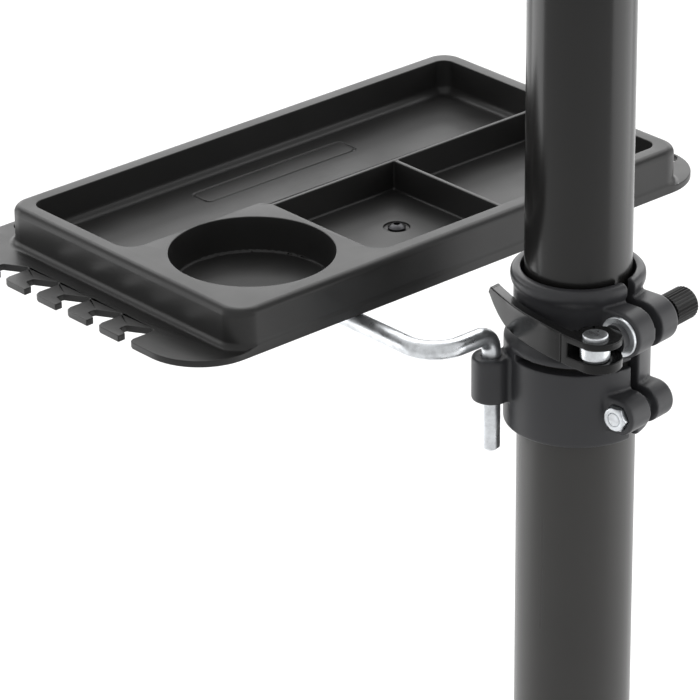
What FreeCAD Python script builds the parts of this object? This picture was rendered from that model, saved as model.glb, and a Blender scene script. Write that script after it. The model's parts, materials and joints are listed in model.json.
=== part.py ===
import FreeCAD, Part
import os
from math import atan2, cos, degrees, pi, radians, sin

# Folding bike repair stand: four-leg base, telescoping mast, quick-release
# collar with a swinging tool tray, and a turning clamp head.
# Units are millimetres. The origin is on the mast axis at floor level, +Z up,
# +X along the tray's long side, and the collar's clamp ears point to -Y.

os.makedirs("parts", exist_ok=True)
Vec = FreeCAD.Vector
X_AXIS = Vec(1, 0, 0)
Y_AXIS = Vec(0, 1, 0)
Z_AXIS = Vec(0, 0, 1)
CENTRE = Vec(0, 0, 0)

# ---- driving dimensions ----
FIT = 0.03                      # gap between parts that are pressed together
RUN = 0.06                      # radial gap where a part turns or slides
APART = 0.1                     # gap between end faces that don't bear on each other

LOWER_R = 25.0                  # lower mast tube
LOWER_WALL = 1.6
LOWER_BOTTOM = 46.0
UPPER_R = 22.5                  # upper mast tube
UPPER_WALL = 1.5
UPPER_BOTTOM = 560.0
UPPER_TOP = 1385.0
HOLE_R = 8.0                    # bore left in plugs and caps for lightness
PLUG_RIM, PLUG_DEPTH = 4.0, 22.0
BUSH_RIM, BUSH_LENGTH, BUSH_PLUG = 6.0, 70.0, 25.0
FAR = 60.0                      # reach of a cutting tool that has to clear its part

COLLAR_Z = 820.0                # bottom of the collar above the floor
COLLAR_TOP = 70.0               # heights below are above the collar's bottom
COLLAR_STEP = 41.0
BAND_R = 30.74
WAIST_R = 26.8
LIP_R = 28.2
FLARE_LOW = 38.5
SLOT_LOW, SLOT_HIGH = 33.3, 36.4
SLOT_FROM, SLOT_TO = 168.0, 277.0
EAR_TURN = 7.0                  # the ears' bolts are turned this far from +X
EAR_HALF = 13.3
SLIT = 4.5
UPPER_EAR_Y, UPPER_EAR_Z, UPPER_EAR_R = -32.8, 52.0, 10.0
LOWER_EAR_Y, LOWER_EAR_Z, LOWER_EAR_R = -33.3, 15.5, 8.0
LOWER_EAR_NEAR = -15.0
BOLT_R, BOLT_HEAD_R, BOLT_SEAT = 3.0, 5.0, 8.6
NUT_ACROSS = 10.0
BOSS_X, BOSS_Y, BOSS_R = -32.45, 17.82, 8.3
BOSS_LOW, BOSS_HIGH = 13.0, 33.0
WEB_HALF = 6.5
EAR_ROOT = -15.0                # the ears reach this far in, into the ring
NUT_SEAT = 2.6                  # depth of the clamp nut's pocket

SKEWER_R = 2.5
WASHER_R, WASHER_T = 8.7, 1.6
SADDLE_R = 6.2
PIVOT_X = -29.8                 # lever pivot, along the skewer from the slit
BARREL_R = 5.3
BARREL_LOW, BARREL_HIGH = 43.6, 59.0
DRUM_R = 6.3                    # thick middle of the barrel, between the fork's prongs
CAM_R = 9.8
CAM_SHIFT = 2.4                 # the fork's round end is off the pivot, as a cam
LEVER_LOW, LEVER_HIGH, LEVER_SWELL = 44.2, 57.4, 59.3
LEVER_T = 4.6
FORK_LOW, FORK_HIGH = 48.4, 54.6
CROTCH = 9.3
NUT_R, NUT_END = 7.2, 31.0

ROD_R = 4.0
ROD_Z = 42.83
ROD_END = -10.4
ROD_TURN_X = -65.7
ROD_BEND = 15.0
ROD_TOP_BEND = 7.0
CLIP_LOW = 38.5                 # ribs under the tray that straddle the rod
CLIP_Y0, CLIP_Y1 = 76.0, 92.0
CLIP_GAP, CLIP_T = ROD_R + 0.2, 2.2
EYE_R, EYE_T, EYE_RUN = 6.0, 4.0, 16.0     # flattened end of the rod, round the screw
SCREW_R, SCREW_SINK = 2.5, 1.0
TRAY_SKIN = 2.4

TRAY_X0, TRAY_X1 = -132.7, 125.6
TRAY_Y0, TRAY_Y1 = 61.4, 215.4
TRAY_LOW, TRAY_FLOOR, DIVIDER_TOP, TRAY_TOP = 47.3, 52.0, 65.4, 67.85
RIM = 8.2
ROLL = 3.4                      # the rim's rounded outer edge
COVE = 3.0                      # where the walls meet the flange
TRAY_R = 11.0
WIDE_CORNER = 9.0               # corners beside the cup well's block
DIVIDER_T = 2.0
DIVIDER_Y, DIVIDER_X = 140.5, 25.2
BLOCK_X = -48.9
CUP_X, CUP_Y, CUP_R = -87.0, 105.6, 35.3
SCREW_X, SCREW_Y = -2.0, 109.1
FLANGE_X0, FLANGE_X1, FLANGE_Y0, FLANGE_Y1 = -157.3, 145.4, 60.7, 229.0
FLANGE_T, FLANGE_R = 3.0, 27.0
HOOK_FIRST, HOOK_PITCH, HOOKS = 101.3, 20.7, 5
SIDE_HOLE_R, SIDE_HOLES_X, SIDE_HOLES_Y = 4.6, 139.0, 84.9
BACK_HOLE_R, BACK_HOLES_X, BACK_HOLES_Y = 3.4, -118.0, 222.6
LABEL = (-45.4, 183.2, 42.6, 196.1)

HEAD_Z = 1420.0                 # axis of the clamp arm
ARM_R, ARM_WALL = 17.5, 2.0
ARM_BACK, ARM_FRONT = 48.0, -215.0
JAW_Y = -272.0                  # axis of the tube that the jaws hold
HELD_R = 16.0
JAW_CLOSED = 28.0               # face of each jaw plate at rest
JAW_T = 12.0
BOSS_PLATE_X = 74.0
GUIDE_Y, GUIDE_R, GUIDE_DZ = -246.5, 3.5, 13.0
SPINDLE_R, SPINDLE_TIP_R = 7.0, 5.0
LUG_HALF = 14.0                 # the split head's lugs, above and below the arm's axis
ARM_BOLT_X = 34.0
HEAD_SCREW_R = 3.0

LEGS = 4
LEG_R, LEG_WALL = 12.5, 1.5
LEG_LENGTH = 640.0
LEG_TOP = 8.0                   # tube beyond the top pivot
SPREAD = 55.0                   # leg and brace angle from the vertical
BRACE = 260.0                   # brace length, and leg length above its rivet
PIVOT_R = 48.0                  # leg and brace pivots from the mast axis
FOOT_AXIS_Z = 9.0
PIN_R = 4.0
FOOT_R, FOOT_SLEEVE, FOOT_END = 16.0, 46.0, 5.0
LEG_PLUG = 6.0
HEAD_R, HEAD_T = 6.5, 2.0       # heads of the pivot pins
ACROSS = 20.0                   # half length of a bore across a leg
RING_R = 33.0                   # hub and slider rings
KNOB_Y = -56.0                  # back of the slider's hand knob
STUD_R = 4.0
CHANNEL_GAP, CHANNEL_T = 13.1, 2.0

SLIDER_Z = FOOT_AXIS_Z + LEG_LENGTH * cos(radians(SPREAD))
HUB_Z = SLIDER_Z - 2 * BRACE * cos(radians(SPREAD))


# ---- helpers ----
def post(r, z0, z1, x=0.0, y=0.0):
    """Upright cylinder."""
    return Part.makeCylinder(r, z1 - z0, Vec(x, y, z0))


def tube(r_out, r_in, z0, z1, x=0.0, y=0.0):
    """Upright tube, open at both ends."""
    return post(r_out, z0, z1, x, y).cut(post(r_in, z0 - 1, z1 + 1, x, y))


def rod(r, start, end):
    """Cylinder from one point to another."""
    return Part.makeCylinder(r, (end - start).Length, start, end - start)


def block(x0, y0, z0, x1, y1, z1):
    """Box between two corners."""
    return Part.makeBox(x1 - x0, y1 - y0, z1 - z0, Vec(x0, y0, z0))


def union(shapes):
    """One solid from shapes that overlap."""
    return shapes[0].multiFuse(shapes[1:]).removeSplitter()


def soften(shape, r, wanted):
    """Round the edges for which wanted(edge) is true."""
    return shape.makeFillet(r, [edge for edge in shape.Edges if wanted(edge)])


def at_height(z):
    """Test for edges that lie at one height."""
    return lambda edge: all(abs(v.Z - z) < 1e-6 for v in edge.Vertexes)


def within(edge, x0, y0, x1, y1):
    """Is the edge inside this rectangle in plan?"""
    return all(x0 - 0.01 < v.X < x1 + 0.01 and y0 - 0.01 < v.Y < y1 + 0.01 for v in edge.Vertexes)


def at_x(x):
    """Test for edges that lie in one plane across X."""
    return lambda edge: all(abs(v.X - x) < 1e-6 for v in edge.Vertexes)


def prism(points, z0, z1):
    """Upright prism on a closed outline."""
    wire = Part.makePolygon([Vec(x, y, z0) for x, y in points + points[:1]])
    return Part.Face(wire).extrude(Vec(0, 0, z1 - z0))


def round_block(x0, y0, x1, y1, r, z0, z1):
    """Box with its four upright edges rounded."""
    shape = block(x0, y0, z0, x1, y1, z1)
    return soften(shape, r, lambda edge: abs(edge.Vertexes[0].Z - edge.Vertexes[-1].Z) > 1)


def pocket(x0, y0, x1, y1, radii, z0, z1, floor_r):
    """Tool for a moulded pocket: its corners' radii, from the near left one round, and its floor edge's."""
    shape = block(x0, y0, z0, x1, y1, z1)
    for r, x, y in zip(radii, (x0, x1, x1, x0), (y0, y0, y1, y1)):
        shape = soften(shape, r, lambda edge: within(edge, x, y, x, y))
    return soften(shape, floor_r, at_height(z0))


def cove(x, y, r, z0, z1):
    """What a rounded corner leaves beside a sharp one that opens towards +X and +Y."""
    return block(x - 1, y - 1, z0, x + r, y + r, z1).cut(post(r, z0 - 1, z1 + 1, x + r, y + r))


def turned(outline, centre=CENTRE):
    """Solid of revolution about an upright axis; outline holds edges in XZ."""
    face = Part.Face(Part.Wire(outline))
    return face.revolve(centre, Z_AXIS, 360)


def lines(points):
    """Straight edges through (r, z) points."""
    corners = [Vec(r, 0, z) for r, z in points]
    return [Part.LineSegment(a, b).toShape() for a, b in zip(corners, corners[1:])]


def arc(a, mid, b):
    """Arc through three (r, z) points."""
    return Part.Arc(Vec(a[0], 0, a[1]), Vec(mid[0], 0, mid[1]), Vec(b[0], 0, b[1])).toShape()


def stadium_x(x0, x1, y, z, r, y_in):
    """Ear along X: a half-round outer end on a block that reaches in to y_in."""
    ear = union([rod(r, Vec(x0, y, z), Vec(x1, y, z)), block(x0, y, z - r, x1, y_in, z + r)])
    return soften(ear, 1.2, lambda edge: at_x(x0)(edge) or at_x(x1)(edge))


def hexagon_x(across, x0, x1, y, z):
    """Hexagonal bar along X with a flat width."""
    r = across / (2 * cos(pi / 6))
    corners = [Vec(x0, y + r * cos(k * pi / 3), z + r * sin(k * pi / 3)) for k in range(7)]
    return Part.Face(Part.makePolygon(corners)).extrude(Vec(x1 - x0, 0, 0))


def star_knob(r, lobes, length, depth):
    """Lobed hand knob along +X from the origin, rounded at both ends."""
    body = rod(r, CENTRE, Vec(length, 0, 0))
    for k in range(lobes):
        a = 2 * pi * k / lobes
        centre = Vec(-1, 1.12 * r * cos(a), 1.12 * r * sin(a))
        body = body.cut(rod(depth, centre, centre + Vec(length + 2, 0, 0)))
    return soften(body, 2.0, lambda edge: at_x(0)(edge) or at_x(length)(edge))


def move(shape, dx=0.0, dy=0.0, dz=0.0):
    """Copy of a shape moved by an offset."""
    copy = shape.copy()
    copy.translate(Vec(dx, dy, dz))
    return copy


def turn(shape, angle, axis=Z_AXIS, centre=CENTRE):
    """Copy of a shape turned about an axis."""
    copy = shape.copy()
    copy.rotate(centre, axis, angle)
    return copy


def on_collar(shape):
    """Put a shape made beside the ears, at collar height, in its place."""
    return turn(move(shape, dz=COLLAR_Z), EAR_TURN)


PARTS = {}


def save(name, shape):
    """Keep a finished node."""
    PARTS[name] = shape


# ---- mast ----
def make_mast():
    lower_in = LOWER_R - LOWER_WALL
    upper_in = UPPER_R - UPPER_WALL
    save("lower_tube", tube(LOWER_R, lower_in, LOWER_BOTTOM, COLLAR_Z + COLLAR_STEP - APART))
    save("upper_tube", tube(UPPER_R, upper_in, UPPER_BOTTOM, UPPER_TOP))
    low = LOWER_BOTTOM - PLUG_RIM
    plug = union([post(LOWER_R, low, LOWER_BOTTOM - FIT),
                  post(lower_in - FIT, low, LOWER_BOTTOM + PLUG_DEPTH)])
    save("tube_plug", plug.cut(post(HOLE_R, low - 1, LOWER_BOTTOM + FAR)))
    low = UPPER_BOTTOM - BUSH_RIM
    bush = union([post(lower_in - RUN, low, UPPER_BOTTOM - APART),
                  tube(lower_in - RUN, UPPER_R + RUN, low, UPPER_BOTTOM + BUSH_LENGTH),
                  post(upper_in - RUN, low, UPPER_BOTTOM + BUSH_PLUG)])
    save("glide_bush", bush.cut(post(HOLE_R, low - 1, UPPER_BOTTOM + FAR)))


# ---- quick-release collar ----
def collar_ring():
    """Turned shape of the collar: band, flare, waist and rolled lip."""
    bore, upper_bore, mouth = LOWER_R + FIT, UPPER_R + RUN, UPPER_R + 1.4
    edge, mouth_edge = 1.2, 0.3
    waist_low, waist_high, lip_low = FLARE_LOW + 10.0, COLLAR_TOP - 9.0, COLLAR_TOP - 5.8
    lip_wide, top = COLLAR_TOP - 2.8, COLLAR_TOP
    lip_in = LIP_R - 3.0
    outline = lines([(bore, 0), (BAND_R - edge, 0)])
    outline.append(arc((BAND_R - edge, 0), (BAND_R - 0.35, 0.35), (BAND_R, edge)))
    outline += lines([(BAND_R, edge), (BAND_R, FLARE_LOW)])
    outline.append(arc((BAND_R, FLARE_LOW), (28.0, FLARE_LOW + 4.1), (WAIST_R, waist_low)))
    outline += lines([(WAIST_R, waist_low), (WAIST_R, waist_high)])
    outline.append(arc((WAIST_R, waist_high), (WAIST_R + 0.3, waist_high + 1.7), (LIP_R - 0.4, lip_low)))
    outline.append(arc((LIP_R - 0.4, lip_low), (LIP_R - 0.05, lip_low + 1.4), (LIP_R, lip_wide)))
    outline.append(arc((LIP_R, lip_wide), (LIP_R - 0.8, top - 0.8), (lip_in, top)))
    outline += lines([(lip_in, top), (mouth + mouth_edge, top), (mouth, top - mouth_edge - 0.1),
                      (mouth, waist_high + 1), (upper_bore, waist_high), (upper_bore, COLLAR_STEP),
                      (bore, COLLAR_STEP), (bore, 0)])
    return turned(outline)


def slot_sector():
    """Tool for the relief slot part of the way round the collar."""
    inside = 20.0
    start = Vec(inside * cos(radians(SLOT_FROM)), inside * sin(radians(SLOT_FROM)), SLOT_LOW)
    end = start * 2
    end.z = SLOT_LOW
    strip = Part.LineSegment(start, end).toShape().extrude(Vec(0, 0, SLOT_HIGH - SLOT_LOW))
    return strip.revolve(CENTRE, Z_AXIS, SLOT_TO - SLOT_FROM)


def tray_boss():
    """Upright boss for the tray rod, with its web to the band."""
    reach = (BOSS_X ** 2 + BOSS_Y ** 2) ** 0.5
    boss = post(BOSS_R, BOSS_LOW, BOSS_HIGH, reach, 0)
    web = block(LOWER_R + 2, -WEB_HALF, BOSS_LOW, reach, WEB_HALF, BOSS_HIGH)
    joined = soften(union([boss, web]), 1.0, at_height(BOSS_LOW))
    joined = soften(joined, 1.6, at_height(BOSS_HIGH))
    return turn(joined, degrees(atan2(BOSS_Y, BOSS_X)))


def across_ears(r, y, z, x0=-FAR, x1=FAR):
    """Cylinder along the ears' bolts."""
    return rod(r, Vec(x0, y, z), Vec(x1, y, z))


def make_collar():
    ears = [stadium_x(-EAR_HALF, EAR_HALF, UPPER_EAR_Y, UPPER_EAR_Z, UPPER_EAR_R, EAR_ROOT),
            stadium_x(LOWER_EAR_NEAR, EAR_HALF, LOWER_EAR_Y, LOWER_EAR_Z, LOWER_EAR_R, EAR_ROOT)]
    inside_band = post(LOWER_R + 1.5, 0, COLLAR_TOP)
    ring = union([collar_ring(), turn(tray_boss(), -EAR_TURN)] + [ear.cut(inside_band) for ear in ears])
    y, z = LOWER_EAR_Y, LOWER_EAR_Z
    cuts = [turn(slot_sector(), -EAR_TURN),
            block(-SLIT / 2, -FAR, -1, SLIT / 2, 0, COLLAR_TOP + 1),
            across_ears(SKEWER_R + 0.3, UPPER_EAR_Y, UPPER_EAR_Z, -EAR_HALF - 5, EAR_HALF + 5),
            across_ears(BOLT_R + 0.3, y, z, -EAR_HALF - 5, EAR_HALF + 5),
            hexagon_x(NUT_ACROSS + 0.3, -FAR, LOWER_EAR_NEAR + NUT_SEAT, y, z),
            across_ears(BOLT_HEAD_R + 0.2, y, z, BOLT_SEAT),
            turn(post(ROD_R + RUN, 0, COLLAR_TOP, BOSS_X, BOSS_Y), -EAR_TURN)]
    save("collar", on_collar(ring.cut(cuts)))


def make_collar_bolt():
    y, z = LOWER_EAR_Y, LOWER_EAR_Z
    tip, head_end = -17.6, BOLT_SEAT + 4.5
    bolt = union([across_ears(BOLT_R, y, z, tip, BOLT_SEAT + 1),
                  across_ears(BOLT_HEAD_R, y, z, BOLT_SEAT + FIT, head_end)])
    bolt = soften(bolt, 0.6, lambda edge: at_x(head_end)(edge) or at_x(tip)(edge))
    bolt = bolt.cut(hexagon_x(5.0, head_end - 2.4, head_end + 1, y, z))
    save("clamp_bolt", on_collar(bolt))
    seat = LOWER_EAR_NEAR + NUT_SEAT - FIT
    face = seat - 5.0
    wide = 6.4
    nut = hexagon_x(NUT_ACROSS, face, seat, y, z)
    bevel = Part.makeCone(4.9, wide, 2.0, Vec(face, y, z), X_AXIS)
    nut = nut.common(union([bevel, across_ears(wide, y, z, face + 2, seat)]))
    save("clamp_nut", on_collar(nut.cut(across_ears(BOLT_R + FIT, y, z))))


def lever_side(offset):
    """One long side of the lever, offset from its curved centre line."""
    centre = [(-33.2, -24.0), (-33.9, -17.0), (-33.1, -8.0), (-30.6, 3.7),
              (-26.8, 13.3), (-22.6, 21.6), (-17.6, 30.4)]
    side = []
    for k, (x, y) in enumerate(centre):
        x_a, y_a = centre[max(k - 1, 0)]
        x_b, y_b = centre[min(k + 1, len(centre) - 1)]
        run = ((x_b - x_a) ** 2 + (y_b - y_a) ** 2) ** 0.5
        side.append(Vec(x - offset * (y_b - y_a) / run, y + offset * (x_b - x_a) / run, 0))
    curve = Part.BSplineCurve()
    curve.interpolate(side)
    return curve.toShape(), side


def lever_profile():
    """Long view of the lever, across the blade: it swells a little, and its low edge sweeps up to the tip."""
    sweep, tip, tip_high = Vec(0, 7, 46.2), Vec(0, 32, 54.6), Vec(0, 28, 58.2)
    root_low, root_high = Vec(0, -24, LEVER_LOW), Vec(0, -24, LEVER_HIGH)
    end_low, end_high = Vec(0, -FAR, LEVER_LOW), Vec(0, -FAR, LEVER_HIGH)
    edges = [Part.LineSegment(end_high, end_low).toShape(), Part.LineSegment(end_low, root_low).toShape(),
             Part.LineSegment(root_low, sweep).toShape(),
             Part.Arc(sweep, Vec(0, 22.5, 49.0), tip).toShape(),
             Part.Arc(tip, Vec(0, 31.0, 57.2), tip_high).toShape(),
             Part.Arc(tip_high, Vec(0, 0, LEVER_SWELL), root_high).toShape(),
             Part.LineSegment(root_high, end_high).toShape()]
    return move(Part.Face(Part.Wire(edges)).extrude(Vec(FAR, 0, 0)), dx=-FAR)


def make_lever():
    """Quick-release lever: a curved blade with a fork that holds the barrel."""
    y = UPPER_EAR_Y
    inner, inner_points = lever_side(-LEVER_T / 2)
    outer, outer_points = lever_side(LEVER_T / 2)
    root = Part.LineSegment(inner_points[0], outer_points[0]).toShape()
    tip_out = (inner_points[-1] + outer_points[-1]) * 0.5 + Vec(1.6, 2.8, 0)
    tip = Part.Arc(outer_points[-1], tip_out, inner_points[-1]).toShape()
    plan = Part.Face(Part.Wire(Part.__sortEdges__([root, outer, tip, inner])))
    blade = move(plan.extrude(Vec(0, 0, COLLAR_TOP - LEVER_LOW)), dz=LEVER_LOW - 2)
    cam_x = PIVOT_X + CAM_SHIFT
    low, high = LEVER_LOW - 2, LEVER_SWELL + 2
    neck = prism([(cam_x - CAM_R, y), (cam_x, y), (-29.6, -22.0), (-36.3, -20.0)], low, high)
    hub = post(CAM_R, low, high, cam_x, y)
    body = union([blade, neck, hub]).common(lever_profile())
    gap = block(cam_x - CAM_R - 2, y - CAM_R - 2, FORK_LOW, cam_x + CAM_R + 2, y + CROTCH, FORK_HIGH)
    body = body.cut([gap, post(BARREL_R + RUN, 0, COLLAR_TOP, PIVOT_X, y)])
    save("qr_lever", on_collar(body))


def make_quick_release():
    """Washer, saddle, skewer and barrel on the upper ears' axis, with the lever and the nut."""
    y, z = UPPER_EAR_Y, UPPER_EAR_Z
    near = -EAR_HALF - FIT
    washer = soften(across_ears(WASHER_R, y, z, near - WASHER_T, near), 0.4, at_x(near - WASHER_T))
    hole = across_ears(SKEWER_R + 0.2, y, z)
    save("qr_washer", on_collar(washer.cut(hole)))
    cam_x = PIVOT_X + CAM_SHIFT
    saddle = across_ears(SADDLE_R, y, z, cam_x + CAM_R - 1, near - WASHER_T - FIT)
    saddle = saddle.cut([post(CAM_R + 0.4, 0, COLLAR_TOP, cam_x, y), hole])
    save("qr_saddle", on_collar(saddle))
    save("qr_skewer", on_collar(across_ears(SKEWER_R, y, z, PIVOT_X, NUT_END - 2)))
    barrel = soften(post(BARREL_R, BARREL_LOW, BARREL_HIGH, PIVOT_X, y), 0.5, at_height(BARREL_HIGH))
    barrel = union([barrel, post(DRUM_R, FORK_LOW + 0.6, FORK_HIGH - 0.5, PIVOT_X, y)])
    save("qr_barrel", on_collar(barrel.cut(across_ears(SKEWER_R + FIT, y, z, PIVOT_X))))
    make_lever()
    make_qr_nut()


def make_qr_nut():
    """Knurled nut: a plain shoulder and a grooved grip."""
    y, z = UPPER_EAR_Y, UPPER_EAR_Z
    flutes, flute_depth = 30, 0.55
    start, grip = EAR_HALF + APART, 17.0
    corners = []
    for k in range(2 * flutes + 1):
        r = NUT_R - flute_depth * (k % 2)
        corners.append(Vec(grip, y + r * cos(k * pi / flutes), z + r * sin(k * pi / flutes)))
    ribs = Part.Face(Part.makePolygon(corners)).extrude(Vec(NUT_END - grip, 0, 0))
    wide, slope = NUT_R + 3.0, 4.0
    bevel = Part.makeCone(NUT_R - 1.0, wide, slope, Vec(NUT_END, y, z), -X_AXIS)
    ribs = ribs.common(union([bevel, across_ears(wide, y, z, grip - 1, NUT_END - slope + APART)]))
    nut = union([ribs, across_ears(NUT_R - 1.2, y, z, start, grip + 1)])
    nut = nut.cut([across_ears(SKEWER_R + RUN, y, z, 0), across_ears(NUT_R / 2, y, z, NUT_END - 1.2)])
    save("qr_nut", on_collar(nut))


# ---- tool tray ----
def hook_notch(y):
    """Tool for one hook-shaped tool slot in the left flange."""
    low, high = TRAY_LOW - 1, TRAY_LOW + FLANGE_T + 1
    mouth_low, mouth_high = [(-2, -2.2), (0, -1.6), (0.9, 0.5), (3.2, 1.5)], [(3.8, 7.5), (-2, 7.2)]
    hook_end = [(15.8, 1.5), (9.0, 12.9), (5.3, 12.9)]
    slot = prism([(FLANGE_X0 + dx, y + dy) for dx, dy in mouth_low + hook_end + mouth_high], low, high)
    deep = FLANGE_X0 + 4.5
    return soften(slot, 1.5, lambda edge: edge.Length > high - low - 0.1 and
                  all(v.X > deep for v in edge.Vertexes))


def tool_holes():
    """Tools for the round holes in the right and back flanges."""
    low, high = TRAY_LOW - 1, TRAY_LOW + FLANGE_T + 1
    right = [post(SIDE_HOLE_R, low, high, SIDE_HOLES_X, SIDE_HOLES_Y + 22.0 * k) for k in range(6)]
    back = [post(BACK_HOLE_R, low, high, BACK_HOLES_X + 27.0 * k, BACK_HOLES_Y) for k in range(9)]
    return right + back


def tray_body():
    """Moulded tray block with its pockets, dividers and cup well."""
    inner_x0, inner_x1 = TRAY_X0 + RIM, TRAY_X1 - RIM
    inner_y0, inner_y1 = TRAY_Y0 + RIM, TRAY_Y1 - RIM
    half = DIVIDER_T / 2
    top = TRAY_TOP + 1
    body = round_block(TRAY_X0, TRAY_Y0, TRAY_X1, TRAY_Y1, TRAY_R, TRAY_LOW, TRAY_TOP)
    body = soften(body, ROLL, at_height(TRAY_TOP))
    over = pocket(inner_x0, inner_y0, inner_x1, inner_y1, [6.0] * 4, DIVIDER_TOP, top, 0.4)
    keep = round_block(TRAY_X0 - RIM, TRAY_Y0 - RIM, BLOCK_X, DIVIDER_Y + half, 6.0,
                       DIVIDER_TOP - 1, top + 1)
    keep = union([keep] + [cove(x, y, WIDE_CORNER, DIVIDER_TOP - 1, top + 1)
                           for x, y in ((inner_x0, DIVIDER_Y + half), (BLOCK_X, inner_y0))])
    cup = Part.makeCone(CUP_R - 0.9, CUP_R, top - TRAY_FLOOR, Vec(CUP_X, CUP_Y, TRAY_FLOOR))
    cuts = [over.cut(keep),
            pocket(inner_x0, DIVIDER_Y + half, inner_x1, inner_y1, (WIDE_CORNER, 6, 6, 6),
                   TRAY_FLOOR, top, 4.0),
            pocket(BLOCK_X, inner_y0, DIVIDER_X - half, DIVIDER_Y - half, (WIDE_CORNER, 1.2, 1.2, 1.2),
                   TRAY_FLOOR, top - 2, 1.0),
            pocket(DIVIDER_X + half, inner_y0, inner_x1, DIVIDER_Y - half, (1.2, 6, 6, 1.2),
                   TRAY_FLOOR, top - 2, 1.0),
            soften(cup, 1.2, at_height(TRAY_FLOOR))]
    return body.cut(cuts)


def label_groove():
    """Thin groove round the blank label panel in the back pocket's floor."""
    x0, y0, x1, y1 = LABEL
    low, high, wide = TRAY_FLOOR - 0.5, TRAY_FLOOR + 1, 0.9
    return round_block(x0, y0, x1, y1, 3.0, low, high).cut(
        round_block(x0 + wide, y0 + wide, x1 - wide, y1 - wide, 2.2, low - 1, high + 1))


def tray_on_flange():
    """Tray block standing on its flange, with a cove where they meet."""
    low, flange_top = TRAY_LOW, TRAY_LOW + FLANGE_T
    wide = 2 * COVE
    flange = round_block(FLANGE_X0, FLANGE_Y0, FLANGE_X1, FLANGE_Y1, FLANGE_R, low, flange_top)
    brim = round_block(TRAY_X0 - wide, TRAY_Y0 - wide, TRAY_X1 + wide, TRAY_Y1 + wide,
                       TRAY_R + wide, low, flange_top)
    meets = at_height(flange_top)
    body = soften(union([tray_body(), brim]), COVE,
                  lambda edge: meets(edge) and within(edge, TRAY_X0, TRAY_Y0, TRAY_X1, TRAY_Y1))
    reach = union([round_block(FLANGE_X0, FLANGE_Y0, FLANGE_X1, FLANGE_Y1, FLANGE_R, low, TRAY_TOP + 1),
                   round_block(TRAY_X0, TRAY_Y0, TRAY_X1, TRAY_Y1, TRAY_R, low, TRAY_TOP + 1)])
    return union([body.common(reach), flange])


def make_tray():
    under_top = TRAY_FLOOR - TRAY_SKIN
    inset = 4.0
    under = round_block(TRAY_X0 + inset, TRAY_Y0 + inset, TRAY_X1 - inset, TRAY_Y1 - inset,
                        TRAY_R - inset, TRAY_LOW - 1, under_top)
    screw_boss = post(8.0, ROD_Z + EYE_T / 2 + FIT, under_top + 0.5, SCREW_X, SCREW_Y)
    clips = []
    for near in (ROD_TURN_X + CLIP_GAP, ROD_TURN_X - CLIP_GAP - CLIP_T):
        clips.append(block(near, CLIP_Y0, CLIP_LOW, near + CLIP_T, CLIP_Y1, under_top + 0.5))
    body = union([tray_on_flange().cut(under), screw_boss] + clips)
    cuts = [hook_notch(HOOK_FIRST + HOOK_PITCH * k) for k in range(HOOKS)]
    cuts += tool_holes()
    cuts += [label_groove(), post(SCREW_R + 0.2, 0, TRAY_TOP, SCREW_X, SCREW_Y),
             post(5.7, TRAY_FLOOR - SCREW_SINK, TRAY_TOP, SCREW_X, SCREW_Y)]
    save("tray", move(body.cut(cuts), dz=COLLAR_Z))


def rod_path():
    """Centre line of the tray rod, from its lower end to its flattened eye."""
    z, top, bend = ROD_Z, ROD_TOP_BEND, ROD_BEND
    slant = 1 - cos(pi / 4)
    x_eye = SCREW_X - EYE_RUN + 2
    points = [Vec(BOSS_X, BOSS_Y, ROD_END), Vec(BOSS_X, BOSS_Y, z - top),
              Vec(BOSS_X - slant * top, BOSS_Y, z - slant * top), Vec(BOSS_X - top, BOSS_Y, z),
              Vec(ROD_TURN_X + bend, BOSS_Y, z),
              Vec(ROD_TURN_X + slant * bend, BOSS_Y + slant * bend, z), Vec(ROD_TURN_X, BOSS_Y + bend, z),
              Vec(ROD_TURN_X, SCREW_Y - bend, z),
              Vec(ROD_TURN_X + slant * bend, SCREW_Y - slant * bend, z), Vec(ROD_TURN_X + bend, SCREW_Y, z),
              Vec(x_eye, SCREW_Y, z)]
    edges = []
    for start in (0, 3, 6, 9):
        edges.append(Part.LineSegment(points[start], points[start + 1]).toShape())
    for start in (1, 4, 7):
        edges.append(Part.Arc(*points[start:start + 3]).toShape())
    return Part.Wire(Part.__sortEdges__(edges))


def make_tray_rod():
    """Bent steel rod: a chamfered lower end, two bends and a flattened eye."""
    section = Part.Wire(Part.makeCircle(ROD_R, Vec(BOSS_X, BOSS_Y, ROD_END), Z_AXIS))
    bar = rod_path().makePipeShell([section], True, True)
    bevel, wide = 5.2, ROD_R + 4.0
    tip = Part.makeCone(ROD_R - 1.2, wide, bevel, Vec(BOSS_X, BOSS_Y, ROD_END))
    above_boss = block(-90, 0, BOSS_HIGH - 3, 20, 140, TRAY_LOW)
    bar = bar.common(union([tip, post(wide, ROD_END + bevel, BOSS_HIGH - 2, BOSS_X, BOSS_Y), above_boss]))
    eye_low, eye_top = ROD_Z - EYE_T / 2, ROD_Z + EYE_T / 2
    eye = union([block(SCREW_X - EYE_RUN, SCREW_Y - EYE_R, eye_low, SCREW_X, SCREW_Y + EYE_R, eye_top),
                 post(EYE_R, eye_low, eye_top, SCREW_X, SCREW_Y)])
    bar = union([bar, eye]).cut(post(SCREW_R + 0.2, 0, TRAY_TOP, SCREW_X, SCREW_Y))
    save("tray_rod", move(bar, dz=COLLAR_Z))


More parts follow.
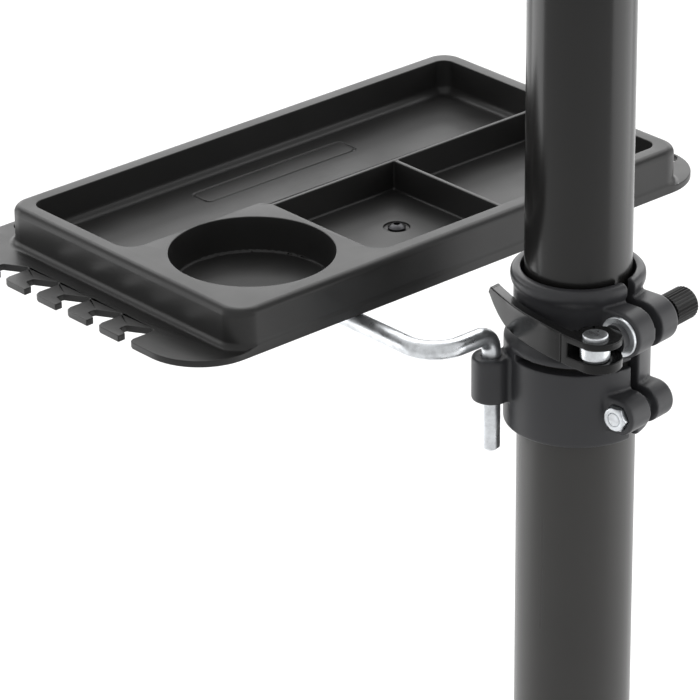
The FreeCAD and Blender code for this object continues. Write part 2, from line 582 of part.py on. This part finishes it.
def make_tray_screw():
    """Screw through the tray and the rod's eye, and the nut under them."""
    seat = TRAY_FLOOR - SCREW_SINK + FIT
    dome = 6.0
    head = Part.makeSphere(dome, Vec(SCREW_X, SCREW_Y, seat + 2.4 - dome))
    head = head.common(post(3.9, seat, seat + 2.6, SCREW_X, SCREW_Y))
    socket_r, socket_z = 1.6, seat + 0.7
    socket = [Vec(SCREW_X + socket_r * cos(k * pi / 3), SCREW_Y + socket_r * sin(k * pi / 3), socket_z)
              for k in range(7)]
    head = head.cut(Part.Face(Part.makePolygon(socket)).extrude(Z_AXIS * 5))
    nut_top = ROD_Z - EYE_T / 2 - FIT
    nut_t = 4.0
    screw = union([head, post(SCREW_R, nut_top - nut_t - 1.3, seat + 0.6, SCREW_X, SCREW_Y)])
    save("tray_screw", move(screw, dz=COLLAR_Z))
    nut = turn(hexagon_x(8.0, 0, nut_t, 0, 0), 90, Y_AXIS).common(post(4.5, -nut_t, 0))
    nut = move(nut, SCREW_X, SCREW_Y, nut_top).cut(post(SCREW_R + FIT, 0, FAR, SCREW_X, SCREW_Y))
    save("tray_nut", move(nut, dz=COLLAR_Z))


# ---- clamp head ----
def make_head():
    """Split head on the mast's top: a socket, a clamp barrel across it, and the screws that hold it."""
    z, lug_reach, split = HEAD_Z, 46.0, 1.5
    socket_low = UPPER_TOP - 58
    body = union([soften(post(28.0, socket_low, UPPER_TOP + 12), 2.0, at_height(socket_low)),
                  soften(rod(24.0, Vec(0, 38, z), Vec(0, -38, z)), 2.0, lambda edge: True),
                  soften(block(0, -13, z - LUG_HALF, lug_reach, 13, z + LUG_HALF), 3.0, lambda edge: True)])
    cuts = [post(UPPER_R + FIT, socket_low - 1, UPPER_TOP + 0.2),
            rod(ARM_R + RUN, Vec(0, FAR, z), Vec(0, -FAR, z)),
            block(5, -FAR, z - split, FAR, FAR, z + split),
            post(4.3, z - 30, z + 30, ARM_BOLT_X, 0)]
    cuts += [rod(HEAD_SCREW_R + FIT, Vec(15, 0, height), Vec(40, 0, height)) for height in screw_heights()]
    save("head_casting", body.cut(cuts))
    start, seat, end = UPPER_R + APART, 28.4, 33.0
    screws = []
    for height in screw_heights():
        cap = soften(rod(5.0, Vec(seat, 0, height), Vec(end, 0, height)), 0.6, at_x(end))
        screw = union([rod(HEAD_SCREW_R, Vec(start, 0, height), Vec(seat + 0.6, 0, height)), cap])
        screws.append(screw.cut(hexagon_x(5.0, end - 2.5, end + 1, 0, height)))
    save("head_screws", Part.makeCompound(screws))


def screw_heights():
    return (UPPER_TOP - 42, UPPER_TOP - 16)


def make_arm_lever():
    """Bolt that closes the split head, and the lever that turns on it."""
    z, x = HEAD_Z, ARM_BOLT_X
    bolt_r, hub_r, hub_top = 4.0, 9.0, z + 30
    bolt_head = turn(hexagon_x(13.0, 0, 6, 0, 0), 90, Y_AXIS)
    bolt = union([post(bolt_r, z - 20, hub_top + 1, x, 0), move(bolt_head, x, 0, z - LUG_HALF - FIT)])
    save("arm_bolt", bolt)
    hub = post(hub_r, z + LUG_HALF + 0.2, hub_top, x, 0)
    ball_centre = Vec(x + 6, 78, z + 38)
    grip = rod(5.5, Vec(x, 4, z + 23), ball_centre)
    ball = Part.makeSphere(8.5, ball_centre)
    lever = union([soften(hub, 1.2, at_height(hub_top)), grip, ball])
    save("arm_lever", lever.cut(post(bolt_r + RUN, z, z + FAR, x, 0)))


def make_arm():
    """Tube that carries the clamp, and the cap in its back end."""
    start, end = Vec(0, ARM_FRONT, HEAD_Z), Vec(0, ARM_BACK, HEAD_Z)
    bore = ARM_R - ARM_WALL
    save("clamp_arm", rod(ARM_R, start, end).cut(rod(bore, start - Y_AXIS, end + Y_AXIS)))
    cap = soften(rod(ARM_R + 3, end + Y_AXIS * FIT, end + Y_AXIS * 7), 1.5, lambda edge: True)
    spigot = rod(bore - FIT, end - Y_AXIS * 18, end + Y_AXIS * 2)
    save("arm_cap", union([cap, spigot]))


def jaw_plate(x0, y0, x1, y1, half):
    """Cast plate of the jaw frame, rounded on every edge."""
    return soften(block(x0, y0, HEAD_Z - half, x1, y1, HEAD_Z + half), 3.0, lambda edge: True)


def guide_rods(r, x0, x1):
    """Two cylinders on the axes of the jaw's guide rods."""
    return [rod(r, Vec(x0, GUIDE_Y, h), Vec(x1, GUIDE_Y, h)) for h in (HEAD_Z - GUIDE_DZ, HEAD_Z + GUIDE_DZ)]


def make_jaw_body():
    """Clamp frame on the arm's end: back plate, fixed jaw and spindle boss."""
    z, fixed = HEAD_Z, -JAW_CLOSED
    back_y, front_y = -226.0, -240.0
    end_x = BOSS_PLATE_X + JAW_T
    guide_sink = 8.0
    body = union([rod(22.5, Vec(0, -184, z), Vec(0, back_y - 2, z)),
                  jaw_plate(fixed - JAW_T, front_y, end_x, back_y, 20),
                  jaw_plate(fixed - JAW_T, -300, fixed, back_y - 1, 27),
                  jaw_plate(BOSS_PLATE_X, -292, end_x, back_y - 1, 20)])
    cuts = [rod(ARM_R + FIT, Vec(0, -180, z), Vec(0, ARM_FRONT - APART, z)),
            rod(SPINDLE_R + RUN, Vec(BOSS_PLATE_X - 9, JAW_Y, z), Vec(end_x + 9, JAW_Y, z))]
    cuts += guide_rods(GUIDE_R + FIT, fixed - guide_sink, BOSS_PLATE_X + guide_sink)
    save("jaw_body", body.cut(cuts))
    length = guide_sink - APART
    save("guide_rods", Part.makeCompound(guide_rods(GUIDE_R, fixed - length, BOSS_PLATE_X + length)))


def jaw_pad(side):
    """Rubber pad with a groove that fits the held tube."""
    z, half = HEAD_Z, 30.0
    near = 10.0
    low, high = sorted((side * near, side * (JAW_CLOSED - FIT)))
    pad = soften(block(low, JAW_Y - 24, z - half, high, JAW_Y + 20, z + half), 2.0, lambda edge: True)
    return pad.cut(post(HELD_R, z - FAR, z + FAR, 0, JAW_Y))


def make_moving_jaw():
    """Jaw plate that slides on the guide rods, and both rubber pads."""
    z, outer = HEAD_Z, JAW_CLOSED + JAW_T
    hub = rod(12.0, Vec(JAW_CLOSED + 2, JAW_Y, z), Vec(outer + 4, JAW_Y, z))
    cuts = [rod(SPINDLE_TIP_R + RUN, Vec(JAW_CLOSED + 5, JAW_Y, z), Vec(FAR, JAW_Y, z))]
    cuts += guide_rods(GUIDE_R + RUN, 0, FAR)
    save("moving_jaw", union([jaw_plate(JAW_CLOSED, -298, outer, -242, 22), hub]).cut(cuts))
    save("moving_pad", jaw_pad(1))
    save("fixed_pad", jaw_pad(-1))


def make_spindle():
    """Screw that moves the jaw, and its hand knob."""
    z = HEAD_Z
    shoulder = JAW_CLOSED + JAW_T + 4.2
    knob_x, knob_bore = 108.0, 16.0
    screw = union([rod(SPINDLE_TIP_R, Vec(JAW_CLOSED + 5.2, JAW_Y, z), Vec(shoulder + 1, JAW_Y, z)),
                   rod(SPINDLE_R, Vec(shoulder, JAW_Y, z), Vec(knob_x + knob_bore, JAW_Y, z))])
    save("spindle", screw)
    knob = union([star_knob(27.0, 6, 22.0, 9.0), rod(12.0, Vec(-6, 0, 0), Vec(2, 0, 0))])
    knob = knob.cut(rod(SPINDLE_R + FIT, Vec(-7, 0, 0), Vec(knob_bore + APART, 0, 0)))
    save("spindle_knob", move(knob, knob_x, JAW_Y, z))


# ---- folding base ----
def around(shape, k):
    """Copy of a shape, made on the +X side, at leg number k."""
    return turn(shape, 45 + 90 * k)


def in_plane(s, n, start, angle):
    """Point s along and n beside a line in the XZ plane, angle from +Z."""
    a = radians(angle)
    return Vec(start.x + s * sin(a) + n * cos(a), 0, start.z + s * cos(a) - n * sin(a))


HUB_PIVOT = Vec(PIVOT_R, 0, HUB_Z)
SLIDER_PIVOT = Vec(PIVOT_R, 0, SLIDER_Z)
KNEE = in_plane(BRACE, 0, HUB_PIVOT, SPREAD)
LEG_ANGLE = 180 - SPREAD


def across(r, point, half):
    """Cylinder across the leg's plane, centred on a pivot."""
    return rod(r, point - Y_AXIS * half, point + Y_AXIS * half)


def make_leg(k):
    top = in_plane(-LEG_TOP, 0, SLIDER_PIVOT, LEG_ANGLE)
    end = in_plane(LEG_LENGTH, 0, SLIDER_PIVOT, LEG_ANGLE)
    bar = rod(LEG_R, top, end).cut(rod(LEG_R - LEG_WALL, top, end))
    clearance = RUN if k == 0 else 0.5
    bar = bar.cut([across(PIN_R + clearance, SLIDER_PIVOT, ACROSS), across(PIN_R + RUN, KNEE, ACROSS)])
    save("leg_%d" % (k + 1), around(bar, k))
    plug = rod(LEG_R - LEG_WALL - FIT, top, in_plane(LEG_PLUG, 0, SLIDER_PIVOT, LEG_ANGLE))
    plug = plug.cut(across(PIN_R + 0.6, SLIDER_PIVOT, ACROSS))
    save("leg_plug_%d" % (k + 1), around(plug, k))
    sleeve_start = in_plane(LEG_LENGTH - FOOT_SLEEVE, 0, SLIDER_PIVOT, LEG_ANGLE)
    sleeve_end = in_plane(LEG_LENGTH + FOOT_END, 0, SLIDER_PIVOT, LEG_ANGLE)
    foot = soften(rod(FOOT_R, sleeve_start, sleeve_end), 2.5, lambda edge: True)
    socket = rod(LEG_R + FIT, sleeve_start, in_plane(LEG_LENGTH + APART, 0, SLIDER_PIVOT, LEG_ANGLE))
    below_floor = block(0, -FAR, -FAR, LEG_LENGTH, FAR, 0)
    foot = foot.cut([socket, below_floor])
    save("foot_%d" % (k + 1), around(foot, k))


def make_brace(k):
    """Pressed channel that carries a leg: two side plates and a short web."""
    side_low, side_high, end_r, web_gap = -12.0, 9.0, 9.0, 24.0
    inside, outside = CHANNEL_GAP, CHANNEL_GAP + CHANNEL_T

    def slab(s0, n0, s1, n1, y0, y1):
        corners = [in_plane(s, n, HUB_PIVOT, SPREAD) for s, n in
                   ((s0, n0), (s1, n0), (s1, n1), (s0, n1), (s0, n0))]
        face = Part.Face(Part.makePolygon([c + Y_AXIS * y0 for c in corners]))
        return face.extrude(Y_AXIS * (y1 - y0))

    channel = []
    for y0, y1 in ((-outside, -inside), (inside, outside)):
        channel.append(slab(0, -end_r, BRACE, side_high, y0, y1))
        channel.append(slab(web_gap, side_low, BRACE - web_gap, 0, y0, y1))
        for pivot in (HUB_PIVOT, KNEE):
            channel.append(rod(end_r, pivot + Y_AXIS * y0, pivot + Y_AXIS * y1))
    channel.append(slab(web_gap, side_low, BRACE - web_gap, side_low + CHANNEL_T, -outside, outside))
    body = union(channel).cut([across(PIN_R + RUN, HUB_PIVOT, ACROSS), across(PIN_R + FIT, KNEE, ACROSS)])
    save("brace_%d" % (k + 1), around(body, k))
    top = outside + HEAD_T + 0.2
    heads = [soften(rod(HEAD_R, KNEE + Y_AXIS * side * (outside + FIT), KNEE + Y_AXIS * side * top), 0.8,
                    lambda edge, y=side * top: abs(edge.CenterOfMass.y - y) < 0.01)
             for side in (-1, 1)]
    save("knee_rivet_%d" % (k + 1), around(union([across(PIN_R, KNEE, outside + 1)] + heads), k))


def pivot_pin(pivot, half):
    """Riveted pin with a round head at each end."""
    heads = [rod(HEAD_R, pivot + Y_AXIS * side * half, pivot + Y_AXIS * side * (half + HEAD_T))
             for side in (-1, 1)]
    return union([across(PIN_R, pivot, half + 1)] + heads)


def make_hub():
    """Fixed hub at the foot of the mast, with a lug inside each brace."""
    half, lug_r = 16.0, 9.0
    body = tube(RING_R, LOWER_R + FIT, HUB_Z - half, HUB_Z + half)
    body = soften(body, 1.5, lambda edge: edge.Length > 2 * pi * (RING_R - 1) and edge.isClosed())
    pins = []
    lug_half = CHANNEL_GAP - 0.4
    for k in range(LEGS):
        lug = union([block(LOWER_R + 4, -lug_half, HUB_Z - lug_r, PIVOT_R, lug_half, HUB_Z + lug_r),
                     across(lug_r, HUB_PIVOT, lug_half)])
        body = union([body, around(lug, k)])
        pins.append(around(pivot_pin(HUB_PIVOT, CHANNEL_GAP + CHANNEL_T + 0.3), k))
    holes = [around(across(PIN_R + FIT, HUB_PIVOT, ACROSS), k) for k in range(LEGS)]
    save("base_hub", body.cut(holes))
    save("hub_pins", Part.makeCompound(pins))


def make_slider():
    """Collar that slides on the mast and carries the tops of the legs."""
    gap, thick, ear_r = LEG_R + 0.6, 5.0, 10.0
    low, high, knob_z = SLIDER_Z - 14, SLIDER_Z + 24, SLIDER_Z + 5
    body = soften(post(RING_R, low, high), 1.5, lambda edge: edge.isClosed())
    pins = []
    for k in range(LEGS):
        for side in (-1, 1):
            y0, y1 = sorted((side * gap, side * (gap + thick)))
            ear = union([block(LOWER_R - 5, y0, SLIDER_Z - ear_r, PIVOT_R, y1, SLIDER_Z + ear_r),
                         rod(ear_r, SLIDER_PIVOT + Y_AXIS * y0, SLIDER_PIVOT + Y_AXIS * y1)])
            body = union([body, around(ear, k)])
        pins.append(around(pivot_pin(SLIDER_PIVOT, gap + thick + FIT), k))
    boss = rod(9.0, Vec(0, KNOB_Y + 4, knob_z), Vec(0, -LOWER_R - 2, knob_z))
    cuts = [post(LOWER_R + 0.1, low - 1, high + 1),
            rod(STUD_R + RUN, Vec(0, KNOB_Y, knob_z), Vec(0, 0, knob_z))]
    cuts += [around(across(PIN_R + FIT, SLIDER_PIVOT, ACROSS + 10), k) for k in range(LEGS)]
    save("slider", union([body, boss]).cut(cuts))
    save("slider_pins", Part.makeCompound(pins))
    knob = turn(star_knob(20.0, 6, 16.0, 6.5), -90)
    stud = rod(STUD_R, Vec(0, KNOB_Y - 2, knob_z), Vec(0, -LOWER_R - 0.4, knob_z))
    save("slider_knob", union([move(knob, dy=KNOB_Y, dz=knob_z), stud]))


def main():
    make_mast()
    make_collar()
    make_collar_bolt()
    make_quick_release()
    make_tray()
    make_tray_rod()
    make_tray_screw()
    make_head()
    make_arm_lever()
    make_arm()
    make_jaw_body()
    make_moving_jaw()
    make_spindle()
    for k in range(LEGS):
        make_leg(k)
        make_brace(k)
    make_hub()
    make_slider()
    for name, shape in PARTS.items():
        shape.exportStep("parts/%s.step" % name)
        print("%-14s valid=%s solids=%d volume=%.0f" %
              (name, shape.isValid(), len(shape.Solids), shape.Volume))


main()
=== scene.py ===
import json
from math import cos, pi, radians, sin

import bmesh
import bpy
from mathutils import Matrix, Vector

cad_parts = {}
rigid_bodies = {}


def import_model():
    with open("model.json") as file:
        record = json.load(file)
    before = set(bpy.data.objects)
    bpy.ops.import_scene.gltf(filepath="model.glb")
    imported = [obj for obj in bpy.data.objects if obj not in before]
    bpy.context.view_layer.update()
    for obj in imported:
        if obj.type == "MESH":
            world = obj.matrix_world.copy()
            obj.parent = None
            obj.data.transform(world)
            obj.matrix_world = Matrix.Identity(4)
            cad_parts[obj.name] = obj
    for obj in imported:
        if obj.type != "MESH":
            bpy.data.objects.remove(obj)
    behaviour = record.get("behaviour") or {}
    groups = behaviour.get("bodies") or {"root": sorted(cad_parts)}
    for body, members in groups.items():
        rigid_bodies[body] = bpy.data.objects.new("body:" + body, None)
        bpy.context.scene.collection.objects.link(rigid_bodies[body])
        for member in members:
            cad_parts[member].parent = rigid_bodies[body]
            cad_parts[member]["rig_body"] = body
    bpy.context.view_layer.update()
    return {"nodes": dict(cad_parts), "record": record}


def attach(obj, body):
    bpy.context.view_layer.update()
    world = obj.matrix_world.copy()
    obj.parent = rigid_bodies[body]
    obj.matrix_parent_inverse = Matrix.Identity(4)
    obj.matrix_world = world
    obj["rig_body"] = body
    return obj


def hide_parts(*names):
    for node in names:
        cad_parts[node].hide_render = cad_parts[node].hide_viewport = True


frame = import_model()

MM = 0.001

# ---- camera: a long lens that looks down on the collar and the tray ----
CAMERA_AZIMUTH = -41.69
CAMERA_ELEVATION = 25.68
CAMERA_ROLL = 0.49
CAMERA_DISTANCE = 1.930
CAMERA_LENS = 235.8
SENSOR = 36.0
CLIP_END = 30.0
AIM = Vector((-0.0597, 0.0753, 0.8437))


def make_camera():
    """Camera turned by azimuth, elevation and roll about the point that it looks at."""
    a, e, roll = radians(CAMERA_AZIMUTH), radians(CAMERA_ELEVATION), radians(CAMERA_ROLL)
    back = Vector((sin(a) * cos(e), -cos(a) * cos(e), sin(e)))
    level = Vector((cos(a), sin(a), 0.0))
    upward = back.cross(level)
    right = level * cos(roll) - upward * sin(roll)
    up = upward * cos(roll) + level * sin(roll)
    camera = bpy.data.objects.new("camera", bpy.data.cameras.new("camera"))
    camera.data.lens = CAMERA_LENS
    camera.data.sensor_width = SENSOR
    camera.data.clip_end = CLIP_END
    turn = Matrix((right, up, back)).transposed().to_4x4()
    camera.matrix_world = Matrix.Translation(AIM + back * CAMERA_DISTANCE) @ turn
    bpy.context.scene.collection.objects.link(camera)
    bpy.context.scene.camera = camera


# ---- stage: a plain floor and soft lights, placed as the camera sees them ----
FLOOR_REACH = 9.0
FLOOR_SHADE = 0.86
FLOOR_ROUGHNESS = 0.9
FLOOR_GLOSS = 0.1
SKY_STRENGTH = 0.62
AWAY = Vector((-sin(radians(CAMERA_AZIMUTH)), cos(radians(CAMERA_AZIMUTH)), 0.0))
RIGHT = Vector((AWAY.y, -AWAY.x, 0.0))
UP = Vector((0.0, 0.0, 1.0))


def staged(away, right, height):
    """Point given as the camera sees it: metres away, to the right, and above the floor."""
    return AWAY * away + RIGHT * right + UP * height


def make_floor():
    """Square floor, centred under the stand."""
    mesh = bpy.data.meshes.new("floor")
    near, far = -FLOOR_REACH, FLOOR_REACH
    corners = [(near, near, 0), (far, near, 0), (far, far, 0), (near, far, 0)]
    mesh.from_pydata(corners, [], [(0, 1, 2, 3)])
    floor = bpy.data.objects.new("floor", mesh)
    bpy.context.scene.collection.objects.link(floor)
    material = bpy.data.materials.new("floor")
    material.use_nodes = True
    shader = material.node_tree.nodes["Principled BSDF"]
    shader.inputs["Base Color"].default_value = (FLOOR_SHADE, FLOOR_SHADE, FLOOR_SHADE, 1)
    shader.inputs["Roughness"].default_value = FLOOR_ROUGHNESS
    shader.inputs["Specular IOR Level"].default_value = FLOOR_GLOSS
    mesh.materials.append(material)


def softbox(name, place, target, size, brightness):
    """Rectangular light of an even brightness, aimed at a point."""
    data = bpy.data.lights.new(name, "AREA")
    data.shape = "RECTANGLE"
    data.size, data.size_y = size
    data.energy = brightness * pi * size[0] * size[1]
    lamp = bpy.data.objects.new(name, data)
    lamp.location = place
    lamp.rotation_euler = (target - place).to_track_quat("-Z", "Y").to_euler()
    bpy.context.scene.collection.objects.link(lamp)


MAST_FOOT = staged(0.0, 0.0, 0.0)
TRAY = Vector((0.0, 0.1, 0.86))
# name, place, target, width and height in metres, brightness
LIGHTS = [
    ("floor_light", staged(2.2, 0.0, 2.9), staged(2.0, 0.0, 0.0), (3.4, 2.6), 1.8),
    ("back", staged(3.4, 0.0, 1.6), TRAY, (4.2, 1.5), 2.0),
    ("top", staged(0.2, -0.3, 3.2), TRAY, (1.8, 1.8), 0.2),
    ("right", staged(0.2, 1.9, 0.7), MAST_FOOT + UP * 0.7, (2.4, 2.0), 1.15),
    ("left", staged(0.6, -1.8, 0.8), MAST_FOOT + UP * 0.8, (1.4, 1.8), 1.5),
]


def make_lights():
    """White surroundings and the softboxes."""
    world = bpy.data.worlds.new("studio")
    world.use_nodes = True
    sky = world.node_tree.nodes["Background"]
    sky.inputs["Color"].default_value = (1.0, 1.0, 1.0, 1)
    sky.inputs["Strength"].default_value = SKY_STRENGTH
    bpy.context.scene.world = world
    for light in LIGHTS:
        softbox(*light)
    bpy.context.scene.view_settings.view_transform = "Standard"


# ---- materials: dark and light shades, roughness, then grain size and depth in mm ----
PLASTIC_IOR = 1.46
SLOTS = {part["node"]: part["material_slot"] for part in frame["record"]["subparts"]}


class Nodes:
    """Short names for building a material's node tree."""

    def __init__(self, name):
        self.material = bpy.data.materials.new(name)
        self.material.use_nodes = True
        self.tree = self.material.node_tree
        self.shader = self.tree.nodes["Principled BSDF"]
        self.place = self.add("ShaderNodeTexCoord").outputs["Object"]

    def add(self, kind, **values):
        node = self.tree.nodes.new(kind)
        for key, value in values.items():
            if hasattr(node, key):
                setattr(node, key, value)
            else:
                node.inputs[key.replace("_", " ")].default_value = value
        return node

    def link(self, out, socket):
        self.tree.links.new(out, socket)

    def stretched(self, scale):
        mapping = self.add("ShaderNodeMapping")
        mapping.inputs["Scale"].default_value = scale
        self.link(self.place, mapping.inputs["Vector"])
        return mapping.outputs["Vector"]

    def noise(self, scale, detail=3.0, vector=None, roughness=0.5):
        node = self.add("ShaderNodeTexNoise", Scale=scale, Detail=detail, Roughness=roughness)
        self.link(vector or self.place, node.inputs["Vector"])
        return node.outputs["Fac"]

    def ramp(self, value, low, high, out_low, out_high):
        """Value from low..high mapped to out_low..out_high."""
        node = self.add("ShaderNodeMapRange")
        for socket, number in zip(("From Min", "From Max", "To Min", "To Max"),
                                  (low, high, out_low, out_high)):
            node.inputs[socket].default_value = number
        self.link(value, node.inputs["Value"])
        return node.outputs["Result"]

    def blend(self, value, colour_a, colour_b):
        node = self.add("ShaderNodeMix", data_type="RGBA")
        node.inputs[6].default_value = (*colour_a, 1)
        node.inputs[7].default_value = (*colour_b, 1)
        self.link(value, node.inputs[0])
        return node.outputs[2]

    def bump(self, height, strength, distance):
        node = self.add("ShaderNodeBump")
        node.inputs["Strength"].default_value = strength
        node.inputs["Distance"].default_value = distance
        self.link(height, node.inputs["Height"])
        self.link(node.outputs["Normal"], self.shader.inputs["Normal"])


def plastic(name, dark, light, rough, grain_mm, grain_depth):
    """Moulded plastic: fine spark-eroded grain, faint flow marks, handled patches."""
    n = Nodes(name)
    flow = n.ramp(n.noise(14.0, 4.0), 0.35, 0.65, 0, 1)
    n.link(n.blend(flow, dark, light), n.shader.inputs["Base Color"])
    handled = n.ramp(n.noise(38.0, 5.0), 0.3, 0.7, rough - 0.05, rough + 0.06)
    n.link(handled, n.shader.inputs["Roughness"])
    n.shader.inputs["IOR"].default_value = PLASTIC_IOR
    n.bump(n.noise(1.0 / (grain_mm * MM), 2.0), 0.35, grain_depth * MM)
    return n.material


def enamel(name, dark, light, rough, peel_mm, peel_depth, streaks=False, gloss_ior=1.5):
    """Stove-enamelled metal: faint orange peel, with wear that can run in upright streaks."""
    n = Nodes(name)
    shade = n.ramp(n.noise(9.0, 4.0), 0.35, 0.65, 0, 1)
    n.link(n.blend(shade, dark, light), n.shader.inputs["Base Color"])
    n.shader.inputs["IOR"].default_value = gloss_ior
    place = n.stretched((60.0, 60.0, 2.5)) if streaks else None
    wear = n.noise(1.0 if streaks else 26.0, 4.0, place)
    n.link(n.ramp(wear, 0.3, 0.7, rough - 0.03, rough + 0.05), n.shader.inputs["Roughness"])
    n.bump(n.noise(1.0 / (peel_mm * MM), 2.0), 0.2, peel_depth * MM)
    return n.material


def zinc(name, tint, rough):
    """Plated steel: mottled crystal patches, uneven polish, small pits."""
    n = Nodes(name)
    n.shader.inputs["Metallic"].default_value = 1.0
    mottle = n.noise(210.0, 5.0, roughness=0.65)
    dark = tuple(0.74 * c for c in tint)
    n.link(n.blend(n.ramp(mottle, 0.35, 0.62, 0, 1), dark, tint), n.shader.inputs["Base Color"])
    drawn = n.ramp(n.noise(160.0, 4.0), 0.3, 0.7, rough - 0.06, rough + 0.14)
    n.link(drawn, n.shader.inputs["Roughness"])
    n.bump(n.noise(900.0, 3.0), 0.25, 0.05 * MM)
    return n.material


def rubber(name, shade):
    """Moulded rubber: dusty, with a coarse matt grain."""
    n = Nodes(name)
    dusty = tuple(1.7 * c for c in shade)
    dust = n.ramp(n.noise(22.0, 5.0), 0.4, 0.7, 0, 1)
    n.link(n.blend(dust, shade, dusty), n.shader.inputs["Base Color"])
    n.link(n.ramp(n.noise(60.0, 4.0), 0.3, 0.7, 0.7, 0.88), n.shader.inputs["Roughness"])
    n.bump(n.noise(900.0, 3.0), 0.5, 0.12 * MM)
    return n.material


def dress():
    """Give every CAD node its material; the lower tube's paint is a shade greyer."""
    looks = {
        "mast_paint": enamel("mast_enamel", (0.009, 0.0088, 0.0085), (0.012, 0.0117, 0.0113),
                             0.2, 2.2, 0.012, streaks=True),
        "outer_mast": enamel("outer_mast_enamel", (0.034, 0.0328, 0.031),
                             (0.040, 0.0388, 0.0365), 0.28, 2.2, 0.012, streaks=True),
        "collar_plastic": plastic("collar_moulding", (0.034, 0.0345, 0.0375),
                                  (0.042, 0.0425, 0.046), 0.38, 0.55, 0.02),
        "tray_plastic": plastic("tray_moulding", (0.015, 0.0148, 0.0146),
                                (0.020, 0.0197, 0.0193), 0.36, 0.45, 0.02),
        "lever_enamel": enamel("lever_enamel", (0.008, 0.008, 0.008), (0.011, 0.011, 0.011),
                               0.13, 1.4, 0.008, gloss_ior=1.36),
        "knurled_black": enamel("nut_black", (0.006, 0.006, 0.006), (0.009, 0.009, 0.009),
                                0.32, 0.8, 0.02, gloss_ior=1.3),
        "zinc_steel": zinc("zinc_plate", (0.94, 0.97, 1.0), 0.3),
        "black_screw": zinc("black_oxide", (0.09, 0.09, 0.095), 0.3),
        "cast_alloy": enamel("casting_enamel", (0.016, 0.016, 0.017), (0.024, 0.024, 0.025),
                             0.36, 0.9, 0.05),
        "hub_plastic": plastic("hub_moulding", (0.02, 0.02, 0.021), (0.027, 0.027, 0.028),
                               0.46, 0.55, 0.03),
        "knob_plastic": plastic("knob_moulding", (0.016, 0.016, 0.016), (0.022, 0.022, 0.022),
                                0.42, 0.5, 0.03),
        "pad_rubber": rubber("pad_rubber", (0.022, 0.022, 0.022)),
        "foot_rubber": rubber("foot_rubber", (0.018, 0.018, 0.018)),
    }
    for name, node in frame["nodes"].items():
        node.data.materials.clear()
        node.data.materials.append(looks["outer_mast" if name == "lower_tube" else SLOTS[name]])


# ---- pieces formed on the CAD solids, with softer edges; lengths in mm ----
WELD = 0.002
EDGE_ANGLE = 35
COLLAR_CELL = 0.58
COLLAR_ROUNDS = 4
# node, width of the rounding, steps in it
ROUNDED = [
    ("qr_lever", 0.5, 3),
    ("tray", 0.4, 2),
    ("qr_barrel", 0.35, 2),
    ("qr_washer", 0.35, 2),
    ("qr_nut", 0.12, 2),
    ("clamp_nut", 0.3, 2),
]


def settle(piece):
    """Keep what the piece's modifiers make as its own mesh."""
    graph = bpy.context.evaluated_depsgraph_get()
    mesh = bpy.data.meshes.new_from_object(
        piece.evaluated_get(graph), preserve_all_data_layers=True, depsgraph=graph)
    piece.modifiers.clear()
    piece.data = mesh


def formed(name):
    """Copy of a CAD node, with its faces joined up, that stands for the node."""
    node = frame["nodes"][name]
    mesh = node.data.copy()
    shape = bmesh.new()
    shape.from_mesh(mesh)
    bmesh.ops.remove_doubles(shape, verts=shape.verts, dist=WELD * MM)
    shape.to_mesh(mesh)
    shape.free()
    for spare in ("custom_normal", "sharp_edge"):
        if spare in mesh.attributes:
            mesh.attributes.remove(mesh.attributes[spare])
    mesh.polygons.foreach_set("use_smooth", [True] * len(mesh.polygons))
    piece = bpy.data.objects.new("formed_" + name, mesh)
    bpy.context.scene.collection.objects.link(piece)
    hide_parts(name)
    return piece


def ride_as(piece, name):
    """The piece takes the body and the finish of the CAD node that it stands for."""
    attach(piece, frame["nodes"][name]["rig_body"])
    piece.data.materials.clear()
    piece.data.materials.append(frame["nodes"][name].data.materials[0])


def bevelled(name, width, segments):
    """The node with its sharp edges rounded off."""
    piece = formed(name)
    bevel = piece.modifiers.new("edges", "BEVEL")
    bevel.width = width * MM
    bevel.segments = segments
    bevel.limit_method = "ANGLE"
    bevel.angle_limit = radians(EDGE_ANGLE)
    bevel.use_clamp_overlap = False
    weighted = piece.modifiers.new("normals", "WEIGHTED_NORMAL")
    weighted.weight = 100
    settle(piece)
    ride_as(piece, name)


def smoothed(name, voxel, rounds):
    """The node remade in small cells and smoothed, as a moulding or casting is."""
    piece = formed(name)
    cells = piece.modifiers.new("cells", "REMESH")
    cells.mode = "VOXEL"
    cells.voxel_size = voxel * MM
    smooth = piece.modifiers.new("smooth", "SMOOTH")
    smooth.factor = 0.5
    smooth.iterations = rounds
    settle(piece)
    ride_as(piece, name)


make_camera()
make_floor()
make_lights()
dress()
smoothed("collar", COLLAR_CELL, COLLAR_ROUNDS)
for name, width, segments in ROUNDED:
    bevelled(name, width, segments)
